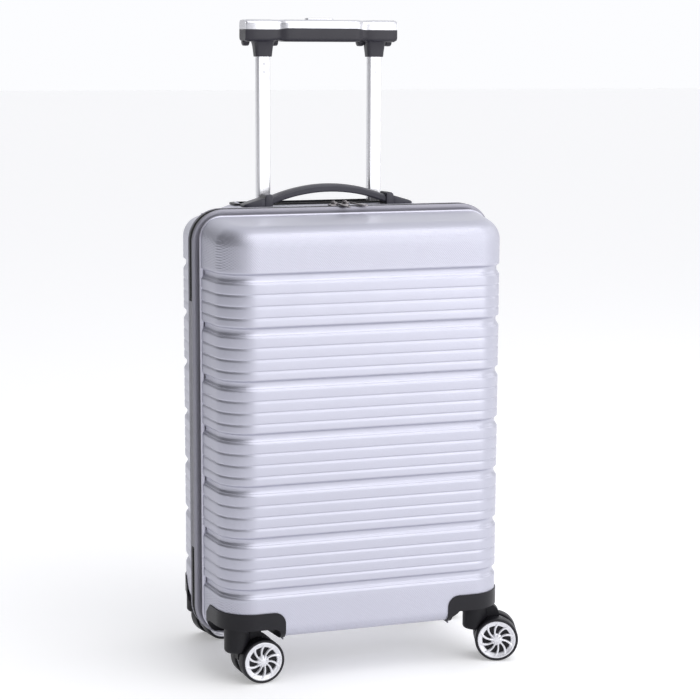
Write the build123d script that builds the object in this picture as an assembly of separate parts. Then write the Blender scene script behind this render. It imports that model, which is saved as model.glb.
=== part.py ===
from build123d import *
import math
import os

# Hard shell cabin suitcase on four twin-wheel casters, with a two-stage trolley
# handle, a carry handle on top and a zip with two sliders.
#
# Everything is modelled in the case's own frame: X = 0 is the middle of the case,
# Y = 0 the zip plane (front lid at -Y), Z = 0 the floor.  save() then moves each
# piece so that the origin is the middle of the whole object's footprint.

os.makedirs("parts", exist_ok=True)

# ---------------------------------------------------------------- dimensions (mm)
ORIGIN_X, ORIGIN_Y = 9.7, 20.4     # case frame position of the footprint's middle

RIM_HALF_W = 180.0                 # edge bead, half width
RIM_TOP, RIM_BOTTOM = 543.0, 48.5  # edge bead, highest and lowest
RIM_R = 31.0                       # zip and piping, corner radius before they are grown outwards
BEAD_R = 26.0                      # edge bead and shells, corner radius
RIM_Y = 20.5                       # from the zip plane to the edge of each shell
SHELL_STEP = 1.2                   # the shells stand this far inside the bead
WALL = 2.5
TAPER = 0.102                      # side walls lean in by this much per mm of depth

FRONT_DEPTH, BACK_DEPTH = 98.8, 137.0   # zip plane to each outer face
FRONT_PLAN_R, BACK_PLAN_R = 40.0, 55.0  # upright corners
FACE_TOP_R, FACE_BOTTOM_R = 22.0, 12.0  # edges round the top and bottom walls

GROOVE_TOP_Z, GROOVE_PITCH, GROOVE_COUNT = 477.5, 60.9, 7
GROOVE_DEPTH, GROOVE_LIP, GROOVE_FLOOR = 3.3, 12.0, 5.0

TUBE_X, TUBE_Y = 71.3, 89.7        # trolley tube centres
INNER_TUBE = (17.0, 11.5, 1.2)     # width, depth, wall
MIDDLE_TUBE = (20.3, 14.8, 1.3)
OUTER_TUBE = (23.6, 18.1, 1.3)
GRIP_HALF_L, GRIP_HALF_D = 96.0, 14.5
GRIP_BOTTOM, GRIP_SPLIT, GRIP_TOP = 741.5, 757.5, 768.5
COLLAR_BOTTOM = 724.3
WELL_FLOOR = 499.0
PLATFORM_TOP = 546.6

CARRY_Y, CARRY_HALF_D = 57.0, 10.8

HINGE_Z = (149.0, 443.0)           # cloth hinge strip
ZIP_H = 6.2                        # zip tape stands this far outside the bead
PIPING_H, PIPING_Y = 6.8, 10.4     # piping: height over the bead, front edge

SWIVEL_X, FRONT_SWIVEL_Y, REAR_SWIVEL_Y = 150.7, -64.8, 111.0
WHEEL_R, WHEEL_W, WHEEL_GAP, TRAIL = 26.2, 15.4, 6.2, 25.3
CEILING = 69.0                     # underside of the wheel housings
POCKET_X, POCKET_REACH = 107.0, 31.0   # inner end of a pocket; swivel to its inner wall
SWING_R = 44.0                     # clear disc for the wheels, swivelling
CASTER_TURN = {"front_left": 4.0, "front_right": -19.0, "rear_left": 12.0, "rear_right": -8.0}


# ---------------------------------------------------------------- helpers
def save(shape, name):
    """Write one node, moved to the footprint's middle."""
    export_step(Pos(-ORIGIN_X, -ORIGIN_Y, 0) * shape, f"parts/{name}.step")


def block(x0, x1, y0, y1, z0, z1):
    """Axis-aligned box between two corners."""
    centre = Pos((x0 + x1) / 2, (y0 + y1) / 2, (z0 + z1) / 2)
    return centre * Box(abs(x1 - x0), abs(y1 - y0), abs(z1 - z0))


def upright(y):
    """Plane across the case at depth y: local x is X, local y is Z."""
    return Plane(origin=(0, y, 0), x_dir=(1, 0, 0), z_dir=(0, -1, 0))


def along_y(edge):
    return abs(edge.tangent_at(0.5).Y) > 0.99


def along_z(edge):
    return abs(edge.tangent_at(0.5).Z) > 0.99


def group(parts):
    """Separate solids that share one node."""
    return Compound([solid for part in parts for solid in part.solids()])


# ---------------------------------------------------------------- case shells
def rim_face(grow, y, radius):
    """Rounded front-view outline of the rim, grown outwards, at depth y."""
    height = RIM_TOP - RIM_BOTTOM + 2 * grow
    outline = RectangleRounded(2 * (RIM_HALF_W + grow), height, radius + grow)
    return upright(y) * Pos(0, (RIM_TOP + RIM_BOTTOM) / 2) * outline


def ring(y0, y1, outer, inner, radius=RIM_R):
    """Prismatic ring that follows the rim between two depths."""
    low, high = min(y0, y1), max(y0, y1)
    solid = extrude(rim_face(outer, high, radius), high - low)
    return solid - extrude(rim_face(inner, high + 1, radius), high - low + 2)


def half_body(side, depth, plan_r, inset, corner_r=BEAD_R):
    """Closed tapered body of one half; side is -1 for the lid and 1 for the back."""
    def section(y):
        lean = TAPER * (y - RIM_Y)
        half_w = RIM_HALF_W - SHELL_STEP - inset - lean
        top = RIM_TOP - SHELL_STEP - inset - lean
        bottom = RIM_BOTTOM + SHELL_STEP + inset + lean
        return upright(side * y) * Pos(0, (top + bottom) / 2) * Rectangle(2 * half_w, top - bottom)

    near = RIM_Y - (2.0 if inset > 0 else 0.0)
    body = loft([section(near), section(depth - inset)])
    at_face = [e for e in body.edges() if along_z(e) and abs(e.center().Y) > depth - inset - 1]
    body = fillet(at_face, plan_r - inset)
    for pick, radius in ((-1, FACE_TOP_R), (0, FACE_BOTTOM_R)):
        wall = body.faces().sort_by(Axis.Z)[pick]
        chain = [e for e in wall.edges() if abs(abs(e.center().Y) - near) > 0.5]
        body = fillet(chain, min(radius - inset * 0.8, plan_r - inset - 1.0))
    prism_h = RIM_TOP - RIM_BOTTOM - 2 * (SHELL_STEP + inset)
    corners = RectangleRounded(2 * (RIM_HALF_W - SHELL_STEP - inset), prism_h, corner_r - SHELL_STEP - inset)
    far = max(side * (near - 3), side * (depth + 3))
    prism = extrude(upright(far) * Pos(0, (RIM_TOP + RIM_BOTTOM) / 2) * corners, depth - near + 6)
    return body & prism


def plan_path(side, depth, plan_r, inset, z):
    """Line and arcs round the plan outline of a half at height z."""
    lean = math.atan(TAPER)
    half_w = RIM_HALF_W - SHELL_STEP - inset
    start_y = RIM_Y - 6
    start = (half_w + TAPER * 6, side * start_y, z)
    radius = plan_r - inset
    centre_y = depth - inset - radius
    centre_x = half_w - TAPER * (centre_y - RIM_Y) - radius / math.cos(lean)
    on_side = (centre_x + radius * math.cos(lean), side * (centre_y + radius * math.sin(lean)), z)
    middle = math.radians(45) + lean / 2
    on_arc = (centre_x + radius * math.cos(middle), side * (centre_y + radius * math.sin(middle)), z)
    on_face = (centre_x, side * (depth - inset), z)
    mirror = lambda p: (-p[0], p[1], p[2])
    return Wire([
        Edge.make_line(start, on_side),
        Edge.make_three_point_arc(on_side, on_arc, on_face),
        Edge.make_line(on_face, mirror(on_face)),
        Edge.make_three_point_arc(mirror(on_face), mirror(on_arc), mirror(on_side)),
        Edge.make_line(mirror(on_side), mirror(start)),
    ])


def groove_sweep(side, depth, plan_r, z, lip, floor, cut_depth, out):
    """Trapezoid channel that runs round the sides and the face of one half."""
    path = plan_path(side, depth, plan_r, 0, z)
    begin = path.position_at(0)
    plane = Plane(origin=begin, x_dir=(1, TAPER * side, 0), z_dir=path.tangent_at(0))
    up = 1 if plane.y_dir.Z > 0 else -1
    slope = (lip - floor) / 2 / cut_depth
    points = [(out, lip / 2 + out * slope), (-cut_depth, floor / 2), (-cut_depth, -floor / 2), (out, -lip / 2 - out * slope)]
    profile = plane * make_face(Polyline(*[(x, up * y) for x, y in points], close=True))
    return sweep(profile, path=path)


def half_shell(side, depth, plan_r):
    """Thin grooved shell of one half."""
    outer = half_body(side, depth, plan_r, 0)
    inner = half_body(side, depth, plan_r, WALL)
    for k in range(GROOVE_COUNT):
        z = GROOVE_TOP_Z - k * GROOVE_PITCH
        outer -= groove_sweep(side, depth, plan_r, z, GROOVE_LIP, GROOVE_FLOOR, GROOVE_DEPTH, 1.5)
        inner -= groove_sweep(side, depth, plan_r, z, GROOVE_LIP + 4.5, GROOVE_FLOOR + 4.5,
                              GROOVE_DEPTH + WALL, -WALL / 2)
    return outer - inner


# ---------------------------------------------------------------- wheel housings
def corner_name(side_y, side_x):
    return ("front" if side_y < 0 else "rear") + "_" + ("left" if side_x < 0 else "right")


def depth_of(side_y):
    return (FRONT_DEPTH, FRONT_PLAN_R) if side_y < 0 else (BACK_DEPTH, BACK_PLAN_R)


def swivel_y(side_y):
    return FRONT_SWIVEL_Y if side_y < 0 else REAR_SWIVEL_Y


def pocket(side_y, side_x, grow):
    """Wheel pocket in a bottom corner, open below and outwards."""
    near_x, near_y = POCKET_X - grow, abs(swivel_y(side_y)) - POCKET_REACH - grow
    x = sorted((side_x * near_x, side_x * 230))
    y = sorted((side_y * near_y, side_y * 190))
    body = block(*x, *y, -10, CEILING + grow)
    inner_edges = [e for e in body.edges() if along_z(e)
                   and abs(abs(e.center().X) - near_x) < 1 and abs(abs(e.center().Y) - near_y) < 1]
    body = fillet(inner_edges, 12)
    roof = body.faces().sort_by(Axis.Z)[-1]
    rim = [e for e in roof.edges() if abs(e.center().X) < 229 and abs(e.center().Y) < 189]
    body = fillet(rim, 9)
    swing = Cylinder(SWING_R + grow, 60, align=(Align.CENTER, Align.CENTER, Align.MAX))
    return body + Pos(side_x * SWIVEL_X, swivel_y(side_y), 2 * WHEEL_R + 0.8 + grow) * swing


def housing_region(side_y, side_x):
    """Space that a housing's outer skin covers."""
    near_x, near_y = POCKET_X - 5.5, abs(swivel_y(side_y)) - POCKET_REACH - 2
    x = sorted((side_x * near_x, side_x * 230))
    y = sorted((side_y * near_y, side_y * 190))
    body = block(*x, *y, 20, 88.6)
    roof_edges = [e for e in body.faces().sort_by(Axis.Z)[-1].edges()
                  if abs(abs(e.center().X) - near_x) < 1]
    body = fillet(roof_edges, 14)
    back_edge = [e for e in body.faces().sort_by(Axis.Z)[-1].edges() if abs(abs(e.center().Y) - near_y) < 1]
    return chamfer(back_edge, 11)


def wheel_housing(side_y, side_x, half_outer, half_grown, half_inner):
    """Skin round the corner, pocket liner and bearing boss for the swivel pin."""
    region = housing_region(side_y, side_x)
    open_pocket = pocket(side_y, side_x, 0)
    skin = (half_grown - half_outer) & region
    liner = (pocket(side_y, side_x, 2.5) & half_grown) - pocket(side_y, side_x, 0)
    boss = Pos(side_x * SWIVEL_X, swivel_y(side_y), CEILING + 9) * Cylinder(11, 18)
    body = (skin - open_pocket) + liner + ((boss & half_inner) - open_pocket)
    pin_bore = Pos(side_x * SWIVEL_X, swivel_y(side_y), CEILING + 6) * Cylinder(5.05, 16)
    body = body - pin_bore
    return body.solids().sort_by(SortBy.VOLUME)[-1]


# ---------------------------------------------------------------- casters
def caster_frame(corner, side_y, side_x):
    """Location of a caster: origin on the floor under the swivel, x along the trail."""
    return Pos(side_x * SWIVEL_X, swivel_y(side_y), 0) * Rot(0, 0, CASTER_TURN[corner])


def wheel_cylinder(radius, y0, y1):
    """Cylinder on the wheel axis between two caster-frame depths."""
    return Pos(TRAIL, (y0 + y1) / 2, WHEEL_R) * Rot(90, 0, 0) * Cylinder(radius, abs(y1 - y0))


def caster_fork():
    """Stem with swivel pin, centre web and stub axle."""
    stem = Pos(0, 0, 51.5) * Cylinder(15.2, 31)
    stem = fillet(stem.edges().sort_by(Axis.Z)[0], 4)
    hood = Pos(14, 0, 47) * Box(30, 11, 40)
    hood = fillet([e for e in hood.edges() if along_y(e) and e.center().X > 20 and e.center().Z > 50], 14)
    web = wheel_cylinder(19, -5.5, 5.5)
    body = stem + hood + web
    for s in (-1, 1):
        body -= wheel_cylinder(WHEEL_R + 1.0, s * 5.5, s * 40)
    body += wheel_cylinder(4.0, -19, 19)
    body += Pos(0, 0, 73) * Cylinder(4.98, 15)
    return body.solids().sort_by(SortBy.VOLUME)[-1]


def tyre(s):
    y0, y1 = s * WHEEL_GAP, s * (WHEEL_GAP + WHEEL_W)
    body = wheel_cylinder(WHEEL_R, y0, y1)
    body = fillet(body.edges().filter_by(GeomType.CIRCLE), 2.2)
    return body - wheel_cylinder(WHEEL_R - 3.0, y0 - s, y1 + s)


def hub(s):
    """Wheel disc with ten swept windows in its outer face."""
    y0, y1 = s * (WHEEL_GAP + 0.5), s * (WHEEL_GAP + WHEEL_W - 0.3)
    body = wheel_cylinder(WHEEL_R - 3.0, y0, y1) - wheel_cylinder(4.05, y0 - s, y1 - s * 1.5)
    face = Plane(origin=(TRAIL, y1, WHEEL_R), x_dir=(1, 0, 0), z_dir=(0, s, 0))
    outline = make_face(Polyline((7.2, -0.6), (15.6, -3.4), (17.2, 1.6), (15.8, 3.4), (7.2, 0.9), close=True))
    for k in range(10):
        body -= extrude(face * Rot(0, 0, 36 * k) * outline, -4)
    return body


# ---------------------------------------------------------------- trolley handle
def tube(size, z0, z1, side_x):
    width, depth, wall = size
    outer = RectangleRounded(width, depth, 3.2)
    inner = RectangleRounded(width - 2 * wall, depth - 2 * wall, 2.0)
    return Pos(side_x * TUBE_X, TUBE_Y, z0) * extrude(outer - inner, z1 - z0)


def tube_hole(size, gap, z0, z1, side_x):
    width, depth, _ = size
    outline = RectangleRounded(width + 2 * gap, depth + 2 * gap, 3.2 + gap)
    return Pos(side_x * TUBE_X, TUBE_Y, z0) * extrude(outline, z1 - z0)


def handle_well():
    """Cup in the top of the back that takes the lowered grip."""
    half_l, half_d = 103.0, 17.2
    cup = block(-half_l - 2.2, half_l + 2.2, TUBE_Y - half_d - 2.2, TUBE_Y + half_d + 2.2, WELL_FLOOR - 2.4, PLATFORM_TOP)
    cup = fillet([e for e in cup.edges() if along_z(e)], 9)
    lip = block(-half_l - 8, half_l + 8, TUBE_Y - half_d - 2.4, TUBE_Y + half_d + 2.4, PLATFORM_TOP, PLATFORM_TOP + 2)
    lip = fillet([e for e in lip.edges() if along_z(e)], 10)
    lip = fillet(lip.faces().sort_by(Axis.Z)[-1].edges(), 1.2)
    hollow = block(-half_l, half_l, TUBE_Y - half_d, TUBE_Y + half_d, WELL_FLOOR, PLATFORM_TOP + 5)
    hollow = fillet([e for e in hollow.edges() if along_z(e)], 7)
    body = cup + lip - hollow
    for s in (-1, 1):
        body -= tube_hole(MIDDLE_TUBE, 0.35, WELL_FLOOR - 5, WELL_FLOOR + 5, s)
    return body


def grip_profile(half_d, z0, z1, radius_top, radius_bottom, half_l):
    """Bar along X with rounded long edges and ends."""
    body = block(-half_l, half_l, TUBE_Y - half_d, TUBE_Y + half_d, z0, z1)
    ends = [e for e in body.edges() if along_z(e)]
    body = fillet(ends, 6)
    if radius_top:
        body = fillet(body.faces().sort_by(Axis.Z)[-1].edges(), radius_top)
    if radius_bottom:
        body = fillet(body.faces().sort_by(Axis.Z)[0].edges(), radius_bottom)
    return body


def grip_body():
    body = grip_profile(GRIP_HALF_D, GRIP_BOTTOM, GRIP_SPLIT, 0, 5, GRIP_HALF_L)
    for s in (-1, 1):
        top = Pos(s * TUBE_X, TUBE_Y, GRIP_BOTTOM + 6) * RectangleRounded(24, 18, 5)
        low = Pos(s * TUBE_X, TUBE_Y, COLLAR_BOTTOM) * RectangleRounded(20.6, 15.1, 4)
        body += loft([low, top])
    body -= block(-80, 80, TUBE_Y - 5, TUBE_Y + 5, 750, GRIP_SPLIT + 1)
    for s in (-1, 1):
        body -= tube_hole(INNER_TUBE, 0, COLLAR_BOTTOM - 1, 748, s)
        body -= Pos(s * TUBE_X, TUBE_Y, 748) * Cylinder(2.6, 12)
    return body


def grip_cover():
    body = grip_profile(GRIP_HALF_D + 0.5, GRIP_SPLIT, GRIP_TOP, 5, 0, GRIP_HALF_L + 0.5)
    body -= block(-80, 80, TUBE_Y - 5, TUBE_Y + 5, GRIP_SPLIT - 1, 764)
    return body - block(-17.8, 17.8, TUBE_Y - 6, TUBE_Y + 6, 760, 775)


def grip_button():
    body = block(-17.4, 17.4, TUBE_Y - 5.6, TUBE_Y + 5.6, 763.65, 770.4)
    body = fillet([e for e in body.edges() if along_z(e)], 2)
    return fillet(body.faces().sort_by(Axis.Z)[-1].edges(), 1)


def release_bridge():
    """Bar under the button with the two push rods that run down the tubes."""
    body = block(-76, 76, TUBE_Y - 4, TUBE_Y + 4, 758.7, 763.6)
    for s in (-1, 1):
        body += Pos(s * TUBE_X, TUBE_Y, 612) * Cylinder(2.0, 300)
    return body


# ---------------------------------------------------------------- carry handle
def carry_strap():
    """Thick rubber strap, arched up off the case."""
    half_l = 77.0
    arch = make_face([
        Edge.make_three_point_arc((-half_l, 556.4), (0, 572.5), (half_l, 556.4)),
        Edge.make_line((half_l, 556.4), (half_l, 547.4)),
        Edge.make_three_point_arc((half_l, 547.4), (0, 562.7), (-half_l, 547.4)),
        Edge.make_line((-half_l, 547.4), (-half_l, 556.4)),
    ])
    body = extrude(upright(CARRY_Y + CARRY_HALF_D) * arch, 2 * CARRY_HALF_D)
    top = [e for e in body.edges() if e.center().Z > 560 and abs(abs(e.center().Y - CARRY_Y) - CARRY_HALF_D) < 0.1]
    return chamfer(top, 2.5)


def carry_cap(s):
    """Wedge cap with the collar that holds one end of the strap."""
    half_d = CARRY_HALF_D + 2.0
    wedge = make_face(Polyline(
        (s * 110.5, PLATFORM_TOP), (s * 110.5, 549.0), (s * 83, 556.4), (s * 81, 559.6), (s * 73.5, 561.2),
        (s * 72.3, 560.4), (s * 72.3, PLATFORM_TOP), close=True))
    body = extrude(upright(CARRY_Y + half_d) * wedge, 2 * half_d)
    tip = [e for e in body.edges() if along_z(e) and abs(e.center().X) > 109]
    body = fillet(tip, 8)
    socket = block(s * 70, s * 77, CARRY_Y - CARRY_HALF_D - 0.05, CARRY_Y + CARRY_HALF_D + 0.05, 547.3, 558.6)
    return body - socket


# ---------------------------------------------------------------- zip
def hinge_gap(grow):
    return block(-200, -150, -30, 30, HINGE_Z[0] - grow, HINGE_Z[1] + grow)


def piping(side):
    """Rounded frame strip beside the zip."""
    body = ring(side * 0.4, side * PIPING_Y, PIPING_H, -4)
    outer = [e for e in body.edges() if abs(abs(e.center().Y) - PIPING_Y) < 0.1
             and (e.bounding_box().max.X > RIM_HALF_W + PIPING_H - 0.5
                  or e.bounding_box().min.X < -RIM_HALF_W - PIPING_H + 0.5
                  or e.bounding_box().max.Z > RIM_TOP + PIPING_H - 0.5
                  or e.bounding_box().min.Z < RIM_BOTTOM - PIPING_H + 0.5)]
    body = fillet(outer, 2.2)
    return body - ring(side * -1, side * 7.6, PIPING_H + 3, ZIP_H - 1.6)


def zip_tape(side):
    """Half of the zip: tape and coil, in the seat of the piping."""
    tape = ring(side * 0.3, side * 7.5, ZIP_H - 0.4, ZIP_H - 1.5)
    coil = ring(side * 0.3, side * 2.6, ZIP_H + 0.5, ZIP_H - 0.5)
    return tape + coil


def pull_place(x, turn, drop=0):
    """Pull pivot: local x runs from the pivot towards the tip of the pull."""
    return Pos(x, 0, RIM_TOP + ZIP_H + 5.0) * Rot(0, 0, turn) * Rot(0, drop, 0)


def zip_slider(x, turn):
    """Slider body on the coil, with the bail that holds its pull."""
    z0 = RIM_TOP + ZIP_H + 0.8
    body = block(x - 5.6, x + 5.6, -4.6, 4.6, z0, z0 + 2.2)
    body = fillet([e for e in body.edges() if along_z(e)], 2.6)
    body = chamfer(body.faces().sort_by(Axis.Z)[-1].edges(), 0.7)
    bail = Rot(90, 0, 0) * Cylinder(2.3, 3.0) + Pos(0, 0, -1.6) * Box(4.6, 3.0, 3.2)
    return body + pull_place(x, turn) * (bail - Rot(90, 0, 0) * Cylinder(1.2, 8))


def zip_pull(x, turn, drop, length):
    """Flat tab with a hole in its tip and a crossbar through the slider's eye."""
    tab = Pos(length / 2 + 2.6, 0, 0) * Box(length - 1.6, 6.4, 1.5)
    tab = fillet([e for e in tab.edges() if along_z(e)], 2.2)
    tab -= Pos(length - 1, 0, 0) * Cylinder(1.6, 5)
    for s in (-1, 1):
        tab += Pos(2.2, s * 2.5, 0) * Box(5.6, 1.2, 1.5)
    tab += Rot(90, 0, 0) * Cylinder(0.85, 6.2)
    return pull_place(x, turn, drop) * tab


# ---------------------------------------------------------------- inside
def lining(side):
    """Cloth skin inside one half, stood off the groove ribs."""
    depth, plan_r = (84.0, 14.0) if side > 0 else (FRONT_DEPTH, FRONT_PLAN_R)
    outer = half_body(side, depth, plan_r, 7.0, RIM_R)
    skin = outer - half_body(side, depth, plan_r, 8.2, RIM_R)
    for side_x in (-1, 1):
        skin -= pocket(side, side_x, 2.9)
        if side < 0:
            skin += (pocket(side, side_x, 4.1) - pocket(side, side_x, 2.9)) & outer
            skin -= Pos(side_x * SWIVEL_X, swivel_y(side), 80) * Cylinder(11.5, 40)
    if side > 0:
        skin -= block(-108, 108, 66, 90, 494, 560)
    return skin.solids().sort_by(SortBy.VOLUME)[-1]


def packing_straps():
    """Two crossed webbing bands that hold the clothes in the back half."""
    bands = []
    for turn in (-1, 1):
        band = Pos(0, 73.4 + 0.5 * turn, 290) * Rot(0, 31 * turn, 0) * Box(25, 0.9, 400)
        bands.append(band)
    return bands[0] + bands[1]


def strap_buckle():
    body = Pos(0, 70.0, 290) * Box(44, 4.6, 36)
    body = fillet([e for e in body.edges() if along_y(e)], 7)
    return fillet(body.faces().sort_by(Axis.Y)[0].edges(), 1.4)


def tube_bracket():
    """Foot that holds the outer tubes on the case's floor."""
    body = block(-92, 92, 78.6, 101.4, 60.9, 76)
    body = fillet([e for e in body.edges() if along_z(e)], 5)
    for s in (-1, 1):
        body -= tube_hole(OUTER_TUBE, 0, 62.5, 80, s)
    return body


def middle_collar(s):
    """Plastic ring on top of a middle tube."""
    ring_outline = RectangleRounded(25.5, 20, 5) - RectangleRounded(17.7, 12.2, 3.4)
    return Pos(s * TUBE_X, TUBE_Y, WELL_FLOOR + 0.35) * extrude(ring_outline, 3.9)


def tube_rivets():
    """Flush rivets that pin the grip to the inner tubes, on the front and back faces."""
    rivets = []
    for s in (-1, 1):
        for z in (715.5, 705.6):
            for face in (-1, 1):
                y = TUBE_Y + face * (INNER_TUBE[1] / 2 + 0.15)
                rivets.append(Pos(s * TUBE_X, y, z) * Rot(90, 0, 0) * Cylinder(1.9, 0.3))
    return group(rivets)


# ---------------------------------------------------------------- build
bodies = {}
for side_y, label in ((-1, "front"), (1, "back")):
    depth, plan_r = depth_of(side_y)
    outer = half_body(side_y, depth, plan_r, 0)
    grown = half_body(side_y, depth, plan_r, -1.3)
    inner = half_body(side_y, depth, plan_r, WALL + 0.4)
    shell = half_shell(side_y, depth, plan_r)
    if side_y > 0:
        crown = make_face(Polyline((-160, 525), (-160, 536), (-112, PLATFORM_TOP), (112, PLATFORM_TOP),
                                   (160, 536), (160, 525), close=True))
        platform = extrude(upright(122) * crown, 92)
        platform = fillet(platform.faces().sort_by(Axis.Z)[-1].edges().filter_by(Axis.X), 5)
        shell += platform - half_body(side_y, depth, plan_r, WALL)
        shell -= block(-105.2, 105.2, TUBE_Y - 19.4, TUBE_Y + 19.4, WELL_FLOOR - 2.4, PLATFORM_TOP + 5)
    for side_x in (-1, 1):
        shell -= pocket(side_y, side_x, 2.6)
        corner = corner_name(side_y, side_x)
        save(wheel_housing(side_y, side_x, outer, grown, inner), f"wheel_housing_{corner}")
    save(shell, f"{label}_shell")
    print(label, "shell", len(shell.solids()), round(shell.volume))

    save(ring(side_y * 16.8, side_y * RIM_Y, 0, -4.05, BEAD_R), f"{label}_edge_bead")
    save(ring(side_y * 0.4, side_y * (RIM_Y - 0.1), -4.1, -6.9), f"{label}_inner_frame")
    save(lining(side_y), f"lining_{label}")
    save(piping(side_y), f"{label}_piping")
    zip_half = zip_tape(side_y)
    save(zip_half - hinge_gap(0.2), f"zip_tape_{label}")
    save(ring(side_y * 0.3, side_y * 7.5, ZIP_H + 0.3, ZIP_H - 1.5) & hinge_gap(0), f"hinge_strip_{label}")

save(handle_well(), "handle_well")
save(group([tube(OUTER_TUBE, 62.5, WELL_FLOOR - 2.45, s) for s in (-1, 1)]), "outer_tubes")
save(tube_bracket(), "tube_bracket")
save(group([tube(MIDDLE_TUBE, 200, WELL_FLOOR + 0.3, s) for s in (-1, 1)]), "middle_tubes")
save(group([middle_collar(s) for s in (-1, 1)]), "middle_tube_collars")
save(group([tube(INNER_TUBE, 440, 748, s) for s in (-1, 1)]), "inner_tubes")
save(tube_rivets(), "tube_rivets")
save(grip_body(), "grip_body")
save(grip_cover(), "grip_cover")
save(grip_button(), "grip_button")
save(release_bridge(), "release_bridge")
save(carry_strap(), "carry_strap")
save(carry_cap(-1), "carry_cap_left")
save(carry_cap(1), "carry_cap_right")
save(packing_straps(), "packing_straps")
save(strap_buckle(), "strap_buckle")

for name, x, turn, drop, length in (("left", -11.8, -52, 12, 25), ("right", 2.5, -30, 8, 29)):
    save(zip_slider(x, turn), f"zip_slider_{name}")
    save(zip_pull(x, turn, drop, length), f"zip_pull_{name}")

for side_y in (-1, 1):
    for side_x in (-1, 1):
        corner = corner_name(side_y, side_x)
        place = caster_frame(corner, side_y, side_x)
        save(place * caster_fork(), f"caster_fork_{corner}")
        for s, wheel in ((-1, "a"), (1, "b")):
            save(place * tyre(s), f"tyre_{corner}_{wheel}")
            save(place * hub(s), f"hub_{corner}_{wheel}")
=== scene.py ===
import math

import bmesh
import bpy
from mathutils import Matrix, Vector


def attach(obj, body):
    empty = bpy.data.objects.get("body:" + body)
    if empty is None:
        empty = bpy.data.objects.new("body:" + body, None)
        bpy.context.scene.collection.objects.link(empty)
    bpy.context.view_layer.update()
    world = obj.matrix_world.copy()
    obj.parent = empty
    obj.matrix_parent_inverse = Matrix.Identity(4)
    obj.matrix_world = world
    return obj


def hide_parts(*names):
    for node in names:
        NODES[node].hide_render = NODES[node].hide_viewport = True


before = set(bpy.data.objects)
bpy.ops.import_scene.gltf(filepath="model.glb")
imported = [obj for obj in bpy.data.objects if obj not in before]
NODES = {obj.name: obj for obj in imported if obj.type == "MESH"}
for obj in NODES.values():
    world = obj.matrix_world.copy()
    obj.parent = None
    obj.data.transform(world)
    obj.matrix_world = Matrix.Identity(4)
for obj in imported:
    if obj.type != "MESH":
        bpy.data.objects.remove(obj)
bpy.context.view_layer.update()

# ---------------------------------------------------------------- dimensions
# All in millimetres, in the case's own frame: X = 0 is the middle, Y = 0 the zip
# plane with the lid at -Y, Z = 0 the floor.
ORIGIN_X, ORIGIN_Y = 9.7, 20.4                 # where the row frame's origin stands in this one
HALF_W, TOP, BOTTOM = 178.8, 541.8, 49.7       # shell outline at the bead
RIM_Y, TAPER = 20.5, 0.102                     # bead's outer edge; lean of the walls
FRONT_DEPTH, BACK_DEPTH = 98.8, 137.0
FRONT_PLAN_R, BACK_PLAN_R = 40.0, 55.0
LINING_DEPTH, LINING_PLAN_R, LINING_INSET = 84.0, 14.0, 7.05
GROOVE_TOP, PITCH, GROOVES = 477.5, 60.9, 7
RIM_HALF_W, RIM_TOP, RIM_BOTTOM = 180.0, 543.0, 48.5
RIM_R, BEAD_R = 31.0, 26.0
TUBE_X, TUBE_Y = 71.3, 89.7
PLATFORM = 546.6                               # top of the back half's crown
CARRY_Y, CARRY_BASE = 57.0, 546.7              # middle and underside of the carry handle
HINGE_LOW, HINGE_HIGH = 149.0, 443.0           # ends of the cloth hinge strip
SWIVEL_X, SWIVEL_Y = 150.7, {-1: -64.8, 1: 111.0}
WHEEL_R, WHEEL_GAP, WHEEL_W, TRAIL = 26.2, 6.2, 15.4, 25.3
POCKET_X, POCKET_REACH, CEILING = 107.0, 31.0, 69.0
CASTER_TURN = {"front_left": 4.0, "front_right": -19.0, "rear_left": 12.0, "rear_right": -8.0}
ROUND = 2 * math.pi


def row(p):
    """Case-frame millimetres to row-frame metres."""
    return ((p[0] - ORIGIN_X) / 1000, (p[1] - ORIGIN_Y) / 1000, p[2] / 1000)


def smooth(t):
    """Eased step from 0 to 1."""
    t = min(1.0, max(0.0, t))
    return t * t * (3 - 2 * t)


def lerp(a, b, t):
    return a + (b - a) * t


# ---------------------------------------------------------------- materials
def node_material(name, color, rough, metallic=0.0, coat=0.0, spec=0.5):
    """Plain Principled material, and its shader node."""
    material = bpy.data.materials.new(name)
    material.use_nodes = True
    shader = material.node_tree.nodes["Principled BSDF"]
    shader.inputs["Base Color"].default_value = (*color, 1)
    shader.inputs["Roughness"].default_value = rough
    shader.inputs["Metallic"].default_value = metallic
    shader.inputs["Coat Weight"].default_value = coat
    shader.inputs["Specular IOR Level"].default_value = spec
    return material, shader


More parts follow.
